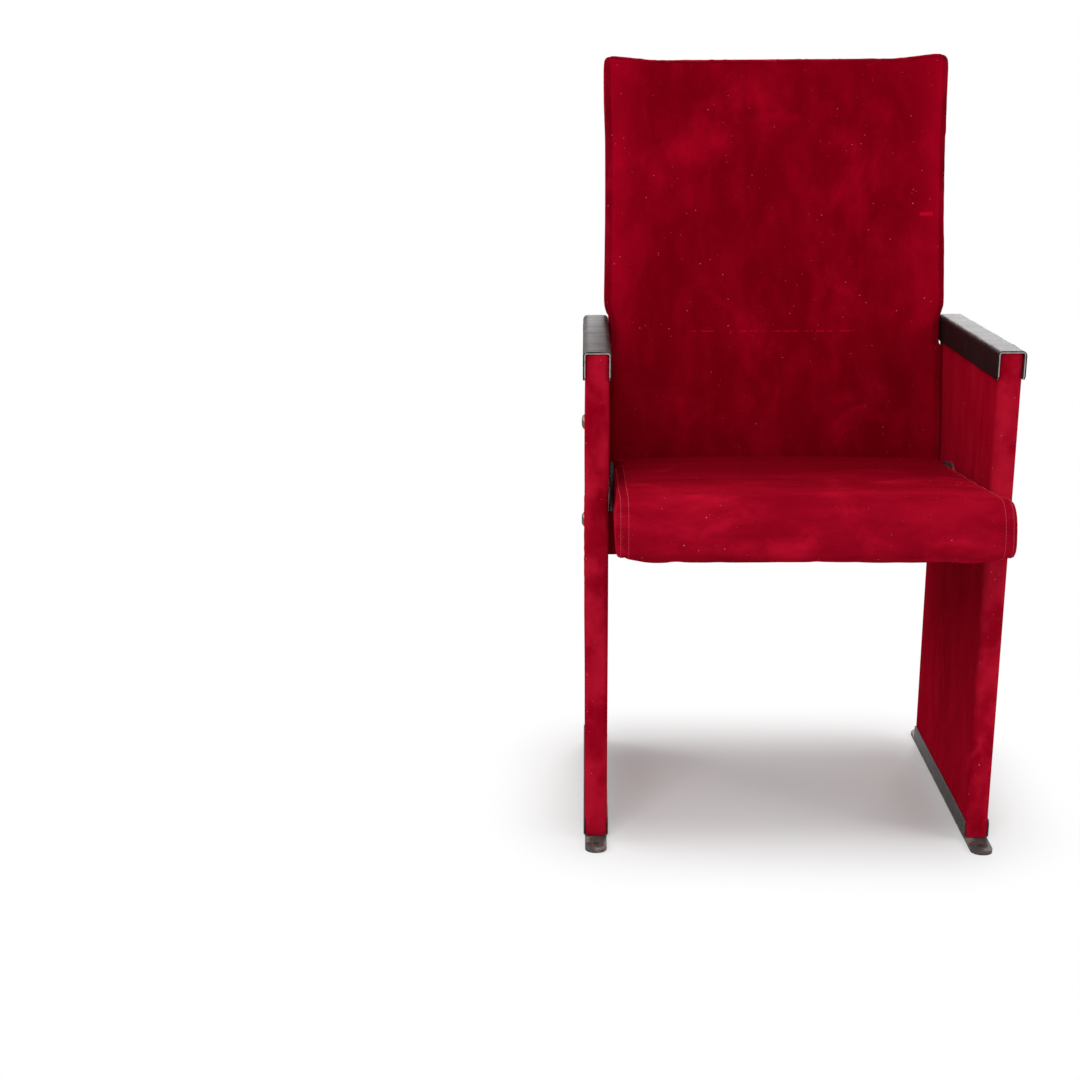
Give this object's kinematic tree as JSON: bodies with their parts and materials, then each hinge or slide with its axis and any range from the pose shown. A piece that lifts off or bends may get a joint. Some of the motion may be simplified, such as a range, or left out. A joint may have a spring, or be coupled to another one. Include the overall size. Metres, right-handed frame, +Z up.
{
  "type": "tip up auditorium seat",
  "caption": "Velvet auditorium seat on two upholstered side panels with leatherette arm caps, a high reclined back and a seat that tips up on slotted side hinges.",
  "frame": {"origin": "on the floor, in the middle of the four floor anchor holes", "axes": "+Z up; -Y the way the sitter faces; +X to the sitter's left, along the row"},
  "size_m": [0.5316, 0.6332, 0.985],
  "materials": {
    "velvet": "short pile, soft sheen",
    "leatherette": "satin, fine grain",
    "plywood": "raw",
    "beech": "raw",
    "painted_steel": "satin, scuffed",
    "bronzed_steel": "darkened, satin",
    "zinc_steel": "zinc plated",
    "nylon": "matt",
    "rubber": "matt"
  },
  "bodies": {
    "chair_frame": {"side_velvet_left": "velvet", "side_velvet_right": "velvet", "back_cushion": "velvet", "back_rear_cover": "velvet", "headrest_band": "velvet", "arm_wrap_left": "leatherette", "arm_wrap_right": "leatherette", "side_board_left": "plywood", "side_board_right": "plywood", "back_shell": "plywood", "back_rail_left": "beech", "back_rail_right": "beech", "floor_channel_left": "painted_steel", "floor_channel_right": "painted_steel", "base_bar_left": "painted_steel", "base_bar_right": "painted_steel", "back_bolts": "bronzed_steel", "base_screws": "zinc_steel", "back_insert_nuts": "zinc_steel", "hinge_plate_left": "zinc_steel", "hinge_plate_right": "zinc_steel", "hinge_screws": "zinc_steel", "hinge_tee_nuts": "zinc_steel", "pivot_stud_left": "zinc_steel", "pivot_stud_right": "zinc_steel", "stop_peg_left": "zinc_steel", "stop_peg_right": "zinc_steel", "arm_core_left": "zinc_steel", "arm_core_right": "zinc_steel", "stop_sleeve_left": "rubber", "stop_sleeve_right": "rubber"},
    "tip_up_seat": {"seat_cushion": "velvet", "seat_underside_cover": "velvet", "seat_board": "plywood", "seat_angle_left": "painted_steel", "seat_angle_right": "painted_steel", "seat_front_rail": "painted_steel", "seat_board_screws": "zinc_steel", "underside_screws": "zinc_steel", "pivot_tube": "painted_steel", "pivot_bush_left": "nylon", "pivot_bush_right": "nylon", "stop_plate_left": "painted_steel", "stop_plate_right": "painted_steel"}
  },
  "joints": [
    {"name": "seat_tip_up", "type": "hinge", "parent": "chair_frame", "child": "tip_up_seat", "pos_m": [0, 0.045, 0.422], "axis": [-1, 0, 0], "range_deg": [0, 92]}
  ]
}
